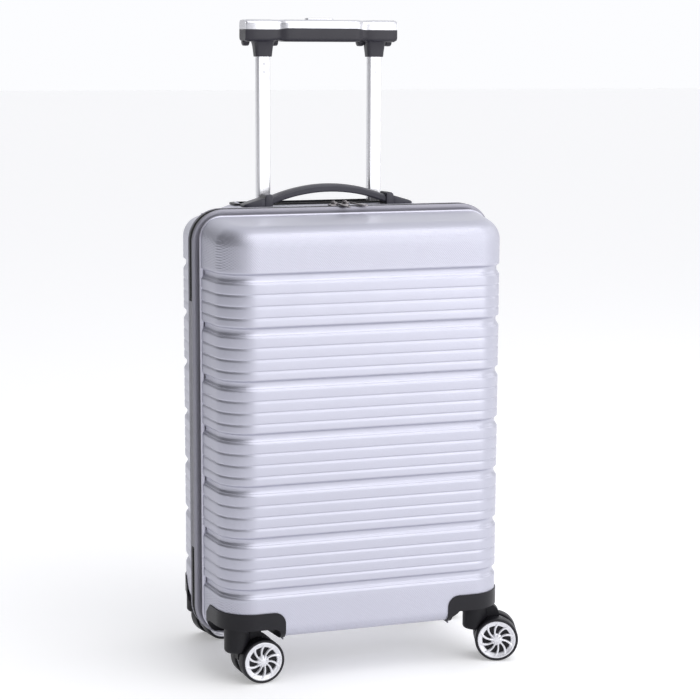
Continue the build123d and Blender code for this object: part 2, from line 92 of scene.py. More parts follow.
class Net:
    """Short way to add and link shader nodes of one material."""

    def __init__(self, material):
        self.tree = material.node_tree
        self.shader = self.tree.nodes["Principled BSDF"]

    def add(self, kind, **values):
        node = self.tree.nodes.new(kind)
        for key, value in values.items():
            if key in node.inputs:
                node.inputs[key].default_value = value
            else:
                setattr(node, key, value)
        return node

    def link(self, a, b):
        self.tree.links.new(a, b)

    def coords(self):
        return self.add("ShaderNodeTexCoord").outputs["Object"]

    def math(self, operation, a, b=None):
        node = self.tree.nodes.new("ShaderNodeMath")
        node.operation = operation
        for k, value in enumerate((a, b)):
            if value is None:
                continue
            if isinstance(value, (int, float)):
                node.inputs[k].default_value = value
            else:
                self.link(value, node.inputs[k])
        return node.outputs[0]

    def noise(self, scale, detail=3.0, rough=0.5):
        node = self.add("ShaderNodeTexNoise", Scale=scale, Detail=detail, Roughness=rough)
        self.link(self.coords(), node.inputs["Vector"])
        return node.outputs["Fac"]

    def span(self, value, low_out, high_out, low_in=0.0, high_in=1.0):
        node = self.tree.nodes.new("ShaderNodeMapRange")
        self.link(value, node.inputs["Value"])
        limits = {"From Min": low_in, "From Max": high_in, "To Min": low_out, "To Max": high_out}
        for key, number in limits.items():
            node.inputs[key].default_value = number
        return node.outputs["Result"]

    def tint(self, value, dark, light):
        node = self.tree.nodes.new("ShaderNodeMix")
        node.data_type = "RGBA"
        self.link(value, node.inputs["Factor"])
        node.inputs["A"].default_value = (*dark, 1)
        node.inputs["B"].default_value = (*light, 1)
        self.link(node.outputs["Result"], self.shader.inputs["Base Color"])

    def bump(self, height, distance, strength=1.0, before=None):
        node = self.add("ShaderNodeBump", Distance=distance, Strength=strength)
        self.link(height, node.inputs["Height"])
        if before:
            self.link(before.outputs["Normal"], node.inputs["Normal"])
        self.link(node.outputs["Normal"], self.shader.inputs["Normal"])
        return node

    def wave(self, direction, period):
        """Sine ridges, 0 to 1, along a direction of the object's own axes; period in metres."""
        dot = self.add("ShaderNodeVectorMath", operation="DOT_PRODUCT")
        self.link(self.coords(), dot.inputs[0])
        dot.inputs[1].default_value = direction
        turns = self.math("MULTIPLY", dot.outputs["Value"], ROUND / period)
        return self.math("MULTIPLY_ADD", self.math("SINE", turns), 0.5)


def grained(name, color, rough, grain=0.00006, scale=1400, metallic=0.0, coat=0.0, vary=0.12, spread=0.1,
            spec=0.5):
    """Moulded or cast surface: fine grain, colour and roughness that drift a little."""
    material, _ = node_material(name, color, rough, metallic, coat, spec)
    net = Net(material)
    drift = net.noise(14.0, 4.0)
    net.tint(drift, [c * (1 - vary) for c in color], [min(1, c * (1 + vary)) for c in color])
    net.link(net.span(net.noise(60.0, 5.0), rough - spread, rough + spread), net.shader.inputs["Roughness"])
    net.bump(net.noise(scale, 2.0), grain)
    return material


def woven(name, color, period, depth):
    """Plain weave with a soft sheen."""
    material, shader = node_material(name, color, 0.85, spec=0.2)
    shader.inputs["Sheen Weight"].default_value = 0.3
    net = Net(material)
    warp = net.wave((1, 0, 0), period)
    weft = net.wave((0, 0, 1), period)
    weave = net.math("MULTIPLY", warp, weft)
    fluff = net.noise(220.0)
    mottled = net.math("ADD", net.math("MULTIPLY", weave, 0.6), net.math("MULTIPLY", fluff, 0.5))
    net.tint(mottled, [c * 0.55 for c in color], [min(1, c * 1.3) for c in color])
    first = net.bump(weave, depth)
    net.bump(net.noise(90.0, 3.0), depth * 1.6, 0.6, first)
    return material


def shell_material():
    """Lavender silver moulded shell: pressed crosshatch on the plain bands, satin elsewhere."""
    color = (0.50, 0.502, 0.585)
    material, _ = node_material("shell_silver", color, 0.36, 0.6, 0.08)
    net = Net(material)
    net.tint(net.noise(6.0, 3.0), [c * 0.965 for c in color], [c * 1.03 for c in color])
    net.link(net.span(net.noise(35.0, 6.0), 0.33, 0.43), net.shader.inputs["Roughness"])
    split = net.add("ShaderNodeSeparateXYZ")
    net.link(net.coords(), split.inputs[0])
    z = split.outputs["Z"]
    top = net.span(z, 0.0, 1.0, 0.4855, 0.4875)
    fade = net.span(z, 1.0, 0.0, 0.524, 0.533)
    bottom = net.span(z, 1.0, 0.0, 0.101, 0.103)
    band = net.math("ADD", net.math("MULTIPLY", top, fade), bottom)
    a = net.wave((0.74, 0.25, 0.62), 0.0019)
    b = net.wave((-0.74, -0.25, 0.62), 0.0019)
    hatch = net.math("MULTIPLY", net.math("MULTIPLY", a, b), band)
    first = net.bump(hatch, 0.0002)
    second = net.bump(net.noise(420.0, 3.0), 0.00005, 1.0, first)
    net.bump(net.noise(18.0, 2.0), 0.0009, 0.25, second)
    return material


SHELL = shell_material()
BEAD = grained("shell_bead", (0.60, 0.595, 0.69), 0.3, 0.00004, 900, 0.45, 0.3, 0.04, 0.05)
PIPING = grained("piping_grey", (0.30, 0.295, 0.345), 0.36, 0.00005, 1200, 0.3, 0.2, 0.06, 0.07)
FRAME_BLACK = grained("frame_black", (0.006, 0.006, 0.007), 0.7, 0.00008, 900, 0.0, 0.0, 0.1, 0.1, 0.1)
BLACK = grained("housing_black", (0.007, 0.0065, 0.010), 0.4, 0.00008, 1500, 0.0, 0.0, 0.2, 0.08, 0.3)
GRIP_BLACK = grained("grip_black", (0.022, 0.0205, 0.029), 0.4, 0.00006, 1700, 0.0, 0.0, 0.15, 0.08, 0.4)
FORK = grained("fork_black", (0.009, 0.0088, 0.012), 0.45, 0.00007, 1300, 0.0, 0.0, 0.15, 0.08, 0.25)
TYRE = grained("tyre_rubber", (0.011, 0.0105, 0.014), 0.46, 0.0001, 800, 0.0, 0.0, 0.25, 0.1, 0.3)
HUB = grained("hub_silver", (0.74, 0.74, 0.78), 0.28, 0.00003, 900, 0.35, 0.3, 0.04, 0.05)
COVER = grained("grip_silver", (0.62, 0.62, 0.66), 0.24, 0.00003, 700, 0.75, 0.35, 0.04, 0.05)
NICKEL = grained("zip_nickel", (0.33, 0.31, 0.32), 0.3, 0.00004, 900, 1.0, 0.0, 0.12, 0.08)
RUBBER = grained("handle_rubber", (0.040, 0.039, 0.054), 0.38, 0.00007, 1600, 0.0, 0.0, 0.15, 0.08, 0.4)
STEEL = grained("rivet_steel", (0.42, 0.42, 0.45), 0.3, 0.00003, 800, 1.0)
ZIP = woven("zip_black", (0.003, 0.003, 0.0035), 0.0009, 0.00012)
HINGE = woven("hinge_grey", (0.36, 0.355, 0.40), 0.0011, 0.00016)
LINING = woven("lining_grey", (0.17, 0.17, 0.20), 0.0016, 0.00014)
WEBBING = woven("webbing_black", (0.022, 0.022, 0.026), 0.0014, 0.0003)


def tube_material():
    """Drawn aluminium: fine lines along the tube."""
    material, _ = node_material("tube_aluminium", (0.80, 0.80, 0.83), 0.26, 0.85)
    net = Net(material)
    stretch = net.add("ShaderNodeMapping")
    net.link(net.coords(), stretch.inputs["Vector"])
    stretch.inputs["Scale"].default_value = (1500, 1500, 9)
    lines = net.add("ShaderNodeTexNoise", Scale=1.0, Detail=3.0)
    net.link(stretch.outputs["Vector"], lines.inputs["Vector"])
    net.tint(lines.outputs["Fac"], (0.74, 0.74, 0.78), (0.86, 0.86, 0.88))
    net.link(net.span(lines.outputs["Fac"], 0.2, 0.36), net.shader.inputs["Roughness"])
    net.bump(lines.outputs["Fac"], 0.00003)
    return material


TUBE = tube_material()


def repaint(node, material):
    """Gives a CAD node its material."""
    NODES[node].data.materials.clear()
    NODES[node].data.materials.append(material)


# ---------------------------------------------------------------- mesh helpers
def piece(name, verts, faces, body, slot, material, replaces=(), sharp=40, materials=None, face_mat=None):
    """A mesh piece from case-frame points, riding on one CAD body."""
    mesh = bpy.data.meshes.new(name)
    mesh.from_pydata([row(v) for v in verts], [], faces)
    for m in (materials or [material]):
        mesh.materials.append(m)
    bm = bmesh.new()
    bm.from_mesh(mesh)
    bmesh.ops.recalc_face_normals(bm, faces=bm.faces)
    bm.to_mesh(mesh)
    bm.free()
    for k, polygon in enumerate(mesh.polygons):
        polygon.use_smooth = True
        if face_mat:
            polygon.material_index = face_mat[k]
    mesh.set_sharp_from_angle(angle=math.radians(sharp))
    obj = bpy.data.objects.new(name + "_mesh" if name in NODES else name, mesh)
    bpy.context.collection.objects.link(obj)
    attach(obj, body)
    if replaces:
        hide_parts(*replaces)
    return obj


def grid_faces(n_rows, n_cols, close_cols=False, flip=False):
    """Quads between rows of points, closed round each row if asked."""
    faces = []
    last = n_cols if close_cols else n_cols - 1
    for r in range(n_rows - 1):
        for c in range(last):
            d = (c + 1) % n_cols
            a, b = r * n_cols + c, r * n_cols + d
            e, f = a + n_cols, b + n_cols
            faces.append((a, e, f, b) if flip else (a, b, f, e))
    return faces


def loft(loops, caps=True, flip=False):
    """Verts and faces of closed loops joined one to the next."""
    n = len(loops[0])
    verts = [p for loop in loops for p in loop]
    faces = grid_faces(len(loops), n, True, flip)
    if caps:
        first, final = list(range(n)), list(range(len(verts) - n, len(verts)))
        faces.append(tuple(first if flip else first[::-1]))
        faces.append(tuple(final[::-1] if flip else final))
    return verts, faces


def join(*parts):
    """One (verts, faces) pair from several."""
    verts, faces = [], []
    for v, f in parts:
        base = len(verts)
        verts += v
        faces += [tuple(i + base for i in face) for face in f]
    return verts, faces


def rounded(half_w, half_h, r, n=6):
    """Rounded rectangle outline round (0, 0), counterclockwise."""
    r = min(r, half_w - 1e-3, half_h - 1e-3)
    points = []
    for k, (cx, cy) in enumerate(((1, 1), (-1, 1), (-1, -1), (1, -1))):
        for j in range(n + 1):
            a = math.pi / 2 * (k + j / n)
            points.append((cx * (half_w - r) + r * math.cos(a), cy * (half_h - r) + r * math.sin(a)))
    return points


# ---------------------------------------------------------------- shells
def plan(depth, plan_r, arc_n, face_xs, side_ys):
    """Plan outline from the -X rim to the +X rim.

    Each point is x, y, normal x, normal y, and 0 on the side wall to 1 on the face.
    """
    lean = math.atan(TAPER)
    cy = depth - plan_r
    cx = HALF_W - TAPER * (cy - RIM_Y) - plan_r / math.cos(lean)
    join_y = cy + plan_r * math.sin(lean)
    half = []
    for y in (y for y in side_ys if y < join_y - 0.5):
        half.append((HALF_W - TAPER * (y - RIM_Y), y, math.cos(lean), math.sin(lean), 0.0))
    for k in range(arc_n + 1):
        a = lean + (math.pi / 2 - lean) * k / arc_n
        c, s = math.cos(a), math.sin(a)
        half.append((cx + plan_r * c, cy + plan_r * s, c, s, k / arc_n))
    middle = [(x, depth, 0.0, 1.0, 1.0) for x in face_xs if x < cx - 0.5]
    left = [(-x, y, -nx, ny, t) for x, y, nx, ny, t in half + middle[::-1]]
    right = [(x, y, nx, ny, t) for x, y, nx, ny, t in middle + half[::-1]]
    return left + right


# Groove profiles: height from the groove's middle, and depth.
MAIN = [(8.0, 0), (7.0, 0.02), (6.4, 0.15), (6.0, 0.5), (5.4, 1.3), (4.5, 2.4), (3.8, 3.05), (3.2, 3.3),
        (2.0, 3.35), (0.3, 3.3), (-1.0, 3.2), (-1.6, 3.0), (-2.4, 2.45), (-3.4, 1.75), (-3.9, 1.5),
        (-4.2, 1.62), (-4.5, 1.45), (-5.0, 0.85), (-5.6, 0.4), (-6.2, 0.12), (-7.0, 0.02), (-8.0, 0)]
FINE = [(1.8, 0.0), (1.0, 0.05), (0.65, 0.24), (0.4, 0.48), (0.1, 0.64), (-0.2, 0.68), (-0.7, 0.6),
        (-1.4, 0.4), (-2.1, 0.2), (-2.8, 0.05), (-3.5, 0.0)]
SLAT_EDGES = (0.29, 0.51, 0.73)                # fine grooves, as shares of the pitch
EDGE_TOP, EDGE_BOTTOM, EDGE_SIDE = 22.0, 12.0, 24.8
EDGE_STEPS = 12
BAND_LOW, BAND_HIGH = 102.0, 488.0             # ends of the grooved band


def groove_rows():
    """(z, depth) of every row in the grooved band, from the bottom up."""
    rows = []
    for k in range(GROOVES):
        c = GROOVE_TOP - k * PITCH
        rows += [(c + u, d) for u, d in MAIN]
        if k < GROOVES - 1:
            for part in SLAT_EDGES:
                rows += [(c - part * PITCH + u, d) for u, d in FINE]
    return sorted(rows)


def half_shell(side, depth, plan_r, inset=0.0, grooves=True, cols=None):
    """Rows of one half's outer surface, offset inwards by inset; each row runs along the plan."""
    if cols is None:
        pocket_y = abs(SWIVEL_Y[side]) - POCKET_REACH
        sides = sorted({RIM_Y, 24.0, 28.0, pocket_y - 2.2, pocket_y, 36, 42, 48, 54, 60, 66, 72, 80})
        cols = plan(depth, plan_r, 16, [0, 14, 28, 42, 56, 70, 84, 96, 104.2, 108, 114, 122, 130], sides)
    rows = []

    def top_z(y):
        return TOP - inset - TAPER * (y - RIM_Y)

    def bottom_z(y):
        return BOTTOM + inset + TAPER * (y - RIM_Y)

    def edge(t, top):
        return lerp(EDGE_SIDE, EDGE_TOP if top else EDGE_BOTTOM, smooth(t * 1.4)) - inset * 0.8

    def point(col, out, z):
        x, y, nx, ny, _ = col
        return (x - nx * (out + inset), side * (y - ny * (out + inset)), z)

    def corner(col, theta, top):
        r = edge(col[4], top)
        out = r * (1 - math.cos(theta))
        y_in = col[1] - col[3] * (out + inset)
        rise = r * (1 - math.sin(theta))
        return point(col, out, top_z(y_in) - rise if top else bottom_z(y_in) + rise)

    for k in range(EDGE_STEPS, 0, -1):
        rows.append([corner(col, math.pi / 2 * k / EDGE_STEPS, False) for col in cols])
    band = groove_rows() if grooves else [(z, 0.0) for z in range(104, 488, 24)]
    start = [corner(col, 0, False) for col in cols]
    rows.append(start)
    for t in (0.3, 0.6, 0.85):
        rows.append([point(col, 0, lerp(p[2], BAND_LOW, t)) for col, p in zip(cols, start)])
    for z, d in band:
        rows.append([point(col, d, z) for col in cols])
    end = [corner(col, 0, True) for col in cols]
    for t in (0.0, 0.35, 0.7):
        rows.append([point(col, 0, lerp(BAND_HIGH, p[2], t)) for col, p in zip(cols, end)])
    for k in range(EDGE_STEPS + 1):
        rows.append([corner(col, math.pi / 2 * k / EDGE_STEPS, True) for col in cols])
    return rows, cols, top_z, bottom_z


def fan(loop, side, level, steps=5):
    """Rows that close a leaning wall from its U-shaped edge to the middle of the rim line."""
    out = []
    for j in range(1, steps + 1):
        t = j / steps
        line = []
        for x, y, _ in loop:
            px, py = lerp(x, x * 0.55, t), lerp(abs(y), RIM_Y, t)
            line.append((px, side * py, level(py)))
        out.append(line)
    return out


def ray_hit(outline, angle):
    """Point where a ray from the outline's middle at an angle meets the outline."""
    c, s = math.cos(angle), math.sin(angle)
    for (x0, y0), (x1, y1) in zip(outline, outline[1:] + outline[:1]):
        dx, dy = x1 - x0, y1 - y0
        det = c * (-dy) + s * dx
        if abs(det) < 1e-12:
            continue
        t = (x0 * (-dy) + y0 * dx) / det
        u = (c * y0 - s * x0) / det
        if t > 0 and -1e-9 <= u <= 1 + 1e-9:
            return (t * c, t * s)
    return (0.0, 0.0)


def cut_pockets(obj, side):
    """Opens a shell where the wheel housings' pockets are."""
    bm = bmesh.new()
    bm.from_mesh(obj.data)
    wall = 2.4
    near_y = abs(SWIVEL_Y[side]) - POCKET_REACH - wall
    x_cut, z_cut = POCKET_X - wall, CEILING + wall
    planes = [((s * x_cut, 0, 0), (1, 0, 0)) for s in (-1, 1)]
    planes += [((0, side * near_y, 0), (0, 1, 0)), ((0, 0, z_cut), (0, 0, 1))]
    for co, normal in planes:
        low_faces = [f for f in bm.faces if f.calc_center_median().z < 0.1]
        geometry = low_faces + list({e for f in low_faces for e in f.edges})
        geometry += list({v for f in low_faces for v in f.verts})
        bmesh.ops.bisect_plane(bm, geom=geometry, plane_co=Vector(row(co)), plane_no=normal)
    gone = []
    for f in bm.faces:
        c = f.calc_center_median() * 1000 + Vector((ORIGIN_X, ORIGIN_Y, 0))
        deep = abs(c.x) > x_cut and abs(c.y) > near_y and c.z < z_cut
        swing = Vector((abs(c.x) - SWIVEL_X, c.y - SWIVEL_Y[side])).length < 45.0 and c.z < 54.5
        if deep or swing:
            gone.append(f)
    bmesh.ops.delete(bm, geom=gone, context="FACES")
    bm.to_mesh(obj.data)
    bm.free()


def thicken(obj, thickness):
    """Gives a surface a wall on its inside."""
    solid = obj.modifiers.new("wall", "SOLIDIFY")
    solid.thickness = thickness
    solid.offset = -1


def build_shell(side, depth, plan_r, name, body):
    """Outer shell of one half, with the crown on the back one."""
    rows, cols, top_z, bottom_z = half_shell(side, depth, plan_r)
    lines = fan(rows[0], side, bottom_z)[::-1] + rows
    if side < 0:
        lines += fan(rows[-1], side, top_z)
    verts = [p for line in lines for p in line]
    faces = grid_faces(len(lines), len(cols), False, side > 0)
    if side > 0:
        verts, faces = join((verts, faces), platform_top(rows[-1], top_z))
    obj = piece(name, verts, faces, body, "shell", SHELL, [name], 50)
    cut_pockets(obj, side)
    weld = obj.modifiers.new("weld", "WELD")
    weld.merge_threshold = 0.00002
    thicken(obj, 0.0024)


def platform_top(edge_row, top_z):
    """Raised top of the back half, with the hole for the handle well."""
    centre_y = 76.0
    outer = [(x, y) for x, y, _ in edge_row]
    rim = [(lerp(outer[-1][0], outer[0][0], k / 30), RIM_Y) for k in range(1, 30)]
    outer += rim
    angles = [math.atan2(y - centre_y, x) for x, y in outer]

    def outline(half_w, y0, y1, r):
        mid = (y0 + y1) / 2
        shape = [(x, y + mid - centre_y) for x, y in rounded(half_w, (y1 - y0) / 2, r, 10)]
        return [(x, y + centre_y) for x, y in (ray_hit(shape, a) for a in angles)]

    def halfway(a, b):
        return [(lerp(p[0], q[0], 0.5), lerp(p[1], q[1], 0.5)) for p, q in zip(a, b)]

    def ramp(t):
        return outline(151 - 47 * t, 23 + 20 * t, 123 - 8 * t, 30 - 8 * t)

    foot = ramp(0.0)
    loops = [[(x, y, top_z(y)) for x, y in path] for path in (outer, halfway(outer, foot), foot)]
    for k in range(1, 15):
        loops.append([(x, y, lerp(top_z(y), PLATFORM, smooth(k / 14))) for x, y in ramp(k / 14)])
    well = outline(104.6, TUBE_Y - 18.8, TUBE_Y + 18.8, 9)
    loops.append([(x, y, PLATFORM) for x, y in halfway(loops[-1], well)])
    loops.append([(x, y, PLATFORM) for x, y in well])
    loops.append([(x, y, PLATFORM - 4) for x, y in well])
    return loft(loops, caps=False, flip=True)


build_shell(-1, FRONT_DEPTH, FRONT_PLAN_R, "front_shell", "front_lid")
build_shell(1, BACK_DEPTH, BACK_PLAN_R, "back_shell", "case_back")


# ---------------------------------------------------------------- rim and zip
def rim_outline(grow, n=14, r=RIM_R):
    """Rim path in front view, as (x, z, normal x, normal z), grown outwards."""
    half_h = (RIM_TOP - RIM_BOTTOM) / 2
    mid = (RIM_TOP + RIM_BOTTOM) / 2
    corners = ((1, 1), (-1, 1), (-1, -1), (1, -1))

    def on_arc(sign_x, sign_z, a):
        c, s = math.cos(a), math.sin(a)
        x = sign_x * (RIM_HALF_W - r) + (r + grow) * c
        return x, mid + sign_z * (half_h - r) + (r + grow) * s, c, s

    points = []
    for k, signs in enumerate(corners):
        points += [on_arc(*signs, math.pi / 2 * (k + j / n)) for j in range(n + 1)]
        x0, z0 = points[-1][:2]
        x1, z1, c, s = on_arc(*corners[(k + 1) % 4], math.pi / 2 * (k + 1))
        points += [(lerp(x0, x1, j / 12), lerp(z0, z1, j / 12), c, s) for j in range(1, 12)]
    return points


def rim_loft(profile, side, r=RIM_R):
    """Sweeps a profile of (distance from zip plane, height over the bead) right round the rim."""
    loops = [[(x, side * y, z) for x, z, _, _ in rim_outline(h, 14, r)] for y, h in profile]
    return loft(loops + [loops[0]], caps=False, flip=side < 0)


def zip_run(step):
    """Points spaced evenly round the rim, with their outward normals."""
    path = rim_outline(0, 24)
    path = path + [path[0]]
    out, carry = [], 0.0
    for a, b in zip(path, path[1:]):
        length = math.hypot(b[0] - a[0], b[1] - a[1])
        if length < 1e-6:
            continue
        t = carry
        while t < length:
            f = t / length
            nx, nz = lerp(a[2], b[2], f), lerp(a[3], b[3], f)
            size = math.hypot(nx, nz)
            out.append((lerp(a[0], b[0], f), lerp(a[1], b[1], f), nx / size, nz / size))
            t += step
        carry = t - length
    return out


def in_hinge(x, z):
    """Whether the cloth hinge covers the zip here."""
    return x < -150 and HINGE_LOW - 3.0 < z < HINGE_HIGH + 3.0


# Profiles round the rim: distance from the zip plane, and height over the bead.
PIPING_PROFILE = [(0.5, -4.0), (0.5, 3.9), (1.0, 4.5), (7.4, 4.5), (7.7, 4.8), (7.7, 6.1), (7.9, 6.5),
                  (8.4, 6.7), (9.1, 6.55), (9.8, 5.9), (10.25, 4.9), (10.4, 3.6), (10.2, 1.8), (9.9, 0.0),
                  (9.9, -4.0)]
BEAD_PROFILE = [(16.8, -4.0), (16.8, -1.0), (17.1, -0.35), (17.7, 0.1), (18.5, 0.25), (19.4, 0.15),
                (20.1, -0.3), (20.5, -1.1), (20.5, -4.0)]
TAPE_PROFILE = [(0.35, 4.7), (0.35, 5.3), (0.9, 5.7), (3.6, 5.75), (5.4, 5.85), (6.6, 5.8), (7.45, 5.6),
                (7.45, 4.7)]
HINGE_PROFILE = [(0.4, 5.0), (0.4, 6.2), (0.8, 6.45), (2.0, 6.5), (3.9, 6.48), (4.1, 6.3), (4.3, 6.48),
                 (6.6, 6.5), (7.3, 6.35), (7.4, 5.0)]
# One tooth: distance from the zip plane, height over the bead, half width.
TOOTH = [(0.32, 5.9, 0.42), (0.32, 6.75, 0.42), (2.4, 6.6, 0.5), (3.1, 5.85, 0.5)]
TOOTH_PITCH = 1.9
TOOTH_FACES = [(0, 1, 3, 2), (2, 3, 5, 4), (4, 5, 7, 6), (0, 2, 4, 6), (1, 7, 5, 3), (0, 6, 7, 1)]


def zip_teeth(side):
    """One half's teeth, set half a pitch from the other's, up to the cloth hinge."""
    teeth = []
    shift = 0.45 if side > 0 else -0.45
    for x, z, nx, nz in zip_run(TOOTH_PITCH):
        if in_hinge(x, z):
            continue
        tooth = []
        for y, h, half in TOOTH:
            for sign in (-1, 1):
                along = half * sign + shift
                tooth.append((x + nx * h - nz * along, side * y, z + nz * h + nx * along))
        teeth.append((tooth, TOOTH_FACES))
    return join(*teeth)


def hinge_strip(side):
    """Faintly rippled cloth strip along the left side's zip."""
    zs = [HINGE_LOW + (HINGE_HIGH - HINGE_LOW) * k / 60 for k in range(61)]
    verts = [(-RIM_HALF_W - h - 0.06 * math.sin(z * 0.9 + y), side * y, z)
             for y, h in HINGE_PROFILE for z in zs]
    return verts, grid_faces(len(HINGE_PROFILE), len(zs), False, side > 0)


for side, label, body in ((-1, "front", "front_lid"), (1, "back", "case_back")):
    piping, tape, hinge = f"{label}_piping", f"zip_tape_{label}", f"hinge_strip_{label}"
    piece(piping, *rim_loft(PIPING_PROFILE, side), body, "piping", PIPING, [piping], 40)
    piece(f"{label}_bead", *rim_loft(BEAD_PROFILE, side, BEAD_R), body, "shell", BEAD,
          [f"{label}_edge_bead"], 50)
    piece(tape, *rim_loft(TAPE_PROFILE, side), body, "zip_cloth", ZIP, [tape], 60)
    piece(f"zip_teeth_{label}", *zip_teeth(side), body, "zip_cloth", ZIP, (), 60)
    piece(hinge, *hinge_strip(side), body, "hinge_cloth", HINGE, [hinge], 60)


# ---------------------------------------------------------------- lining and straps
def build_lining(side, depth, plan_r, body):
    """Cloth skin with soft dimples between its glue points."""
    sides = sorted({19.0, 24.0, 30, 36, 42, 48, 54, 60, 66, 72})
    cols = plan(depth, plan_r, 8, [0, 12, 24, 36, 48, 60, 72, 84, 96, 108, 120, 132], sides)
    rows, cols, top_z, bottom_z = half_shell(side, depth, plan_r, LINING_INSET, False, cols)
    lines = fan(rows[0], side, bottom_z)[::-1] + rows + fan(rows[-1], side, top_z)
    verts = []
    for line in lines:
        for x, y, z in line:
            pull = 0.35 * math.sin(x * 0.11 + 1.3) * math.sin(z * 0.093) + 0.2 * math.sin(x * 0.31 + z * 0.23)
            verts.append((x, y - side * abs(pull) if abs(y) > depth - 12 else y, z))
    name = "lining_front" if side < 0 else "lining_back"
    faces = grid_faces(len(lines), len(cols), False, side > 0)
    return piece(name, verts, faces, body, "lining_cloth", LINING, [name], 70)


def housing_cover(side_x):
    """Cloth moulded over a front wheel housing: inner walls, soft edges and a roof."""
    cover, corner_r, top_r = 4.1, 8, 5
    far_x, far_y, far_r = 173.0, 93.8, 35          # where the lining's own outer corner passes
    x0, y0 = POCKET_X - cover, abs(SWIVEL_Y[-1]) - POCKET_REACH - cover
    path = [(far_x, y0, 0.0, 1.0)]
    for k in range(7):
        a = math.pi / 2 * k / 6
        c, s = math.cos(a), math.sin(a)
        path.append((x0 + corner_r - corner_r * s, y0 + corner_r - corner_r * c, s, c))
    path.append((x0, far_y, 1.0, 0.0))
    for k in range(9):
        a = math.pi / 2 * (1 - k / 8)
        path.append((134.7 + far_r * math.cos(a), 58.8 + far_r * math.sin(a), 0.0, 0.0))
    wall_top = CEILING - 0.9
    rises = [(54.0, 0.0), (wall_top, 0.0)]
    for k in range(1, 6):
        b = math.pi / 2 * k / 5
        rises.append((wall_top + top_r * math.sin(b), top_r * (1 - math.cos(b))))
    n = len(path)
    verts = [(side_x * (x + nx * cut), -(y + ny * cut), z) for z, cut in rises for x, y, nx, ny in path]
    faces = []
    for r in range(len(rises) - 1):
        faces += [(r * n + k, r * n + k + 1, (r + 1) * n + k + 1, (r + 1) * n + k) for k in range(8)]
    return verts, faces + [tuple(range((len(rises) - 1) * n, len(rises) * n))]


def open_lining(obj, side):
    """Cuts the lining cleanly where the pockets or the handle well stand through it."""
    bm = bmesh.new()
    bm.from_mesh(obj.data)
    near_y = abs(SWIVEL_Y[side]) - POCKET_REACH - 4
    # A pocket stands beyond wide, in front of deep and under tall; the handle well
    # stands within wide, behind deep and over tall.
    wide, deep, tall = (POCKET_X - 4, -near_y, CEILING + 4) if side < 0 else (108, 66, 494)
    cuts = [((x, 0, 0), (1, 0, 0)) for x in (wide, -wide)]
    cuts += [((0, deep, 0), (0, 1, 0)), ((0, 0, tall), (0, 0, 1))]
    for at, normal in cuts:
        near = [f for f in bm.faces if (f.calc_center_median().z * 1000 - tall) * side > -14]
        geom = {part for f in near for part in (f, *f.verts, *f.edges)}
        bmesh.ops.bisect_plane(bm, geom=list(geom), plane_co=row(at), plane_no=normal)
    gone = []
    for f in bm.faces:
        c = f.calc_center_median() * 1000 + Vector((ORIGIN_X, ORIGIN_Y, 0))
        in_pocket = side < 0 and abs(c.x) > wide and c.y < deep and c.z < tall
        in_well = side > 0 and abs(c.x) < wide and c.y > deep and c.z > tall
        if in_pocket or in_well:
            gone.append(f)
    bmesh.ops.delete(bm, geom=gone, context="FACES")
    for side_x in (-1, 1) if side < 0 else ():
        verts, faces = housing_cover(side_x)
        made = [bm.verts.new(row(v)) for v in verts]
        for f in faces:
            bm.faces.new([made[k] for k in (f if side_x > 0 else f[::-1])]).smooth = True
    bm.to_mesh(obj.data)
    bm.free()
    thicken(obj, 0.0009)


open_lining(build_lining(-1, FRONT_DEPTH, FRONT_PLAN_R, "front_lid"), -1)
open_lining(build_lining(1, LINING_DEPTH, LINING_PLAN_R, "case_back"), 1)


def webbing():
    """Two flat bands that cross in front of the back half's lining."""
    half_run, half_w, half_t = 199, 12.4, 0.42
    mid_y, mid_z, lean = 73.4, 290, 31
    parts = []
    for turn in (-1, 1):
        a = math.radians(lean * turn)
        c, s = math.cos(a), math.sin(a)
        loops = []
        for k in range(81):
            run = lerp(-half_run, half_run, k / 80)
            sag = 0.5 * math.sin(k * 0.35)
            y = mid_y + 0.5 * turn
            loop = []
            for u, v in rounded(half_w, half_t, 0.3, 2):
                u += 0.15 * math.sin(k * 1.7)
                loop.append((u * c + run * s, y + v + sag * 0.1, mid_z - u * s + run * c))
            loops.append(loop)
        parts.append(loft(loops))
    return join(*parts)


straps = piece("packing_straps", *webbing(), "case_back", "webbing", WEBBING, ["packing_straps"], 50)

# ---------------------------------------------------------------- trolley grip
def grip_sections(top_part):
    """Sections of the grip along X, with its forward-standing middle."""
    stations = [-96.6, -96.2, -95.2, -93.5, -80, -66, -58, -54, -51, -48, -45, -42, -30, -18]
    stations += [-x for x in stations[::-1]]
    loops = []
    for x in stations:
        end = smooth((abs(x) - 93.0) / 3.6)
        middle = 1 - smooth((abs(x) - 44) / 12)
        neck = math.exp(-((abs(x) - 54) / 5.5) ** 2)
        front = 14.2 + 1.2 * middle - 1.6 * neck - 1.0 * end
        back = 14.2 - 1.0 * end
        split = 756.4 + 1.5 * middle
        if top_part:
            z0, z1, r = split, 768.2 - 0.5 * neck - 0.8 * end, 5.5
        else:
            z0, z1, r = 741.7 + 1.6 * neck + 1.5 * end, split, 4.6
        half, mid = (front + back) / 2, (back - front) / 2
        loop = []
        for u, v in rounded(half, (z1 - z0) / 2, r, 7):
            z = (z0 + z1) / 2 + v
            if top_part and v < 0:
                u = math.copysign(max(abs(u), half * 0.999), u) if abs(u) > half - r else u
                z = z0 if v < -(z1 - z0) / 2 + r else z
            if not top_part and v > 0:
                u = math.copysign(max(abs(u), half * 0.985), u) if abs(u) > half - r else u
                z = z1 if v > (z1 - z0) / 2 - r else z
            loop.append((x, TUBE_Y + mid + u, z))
        loops.append(loop)
    return loops


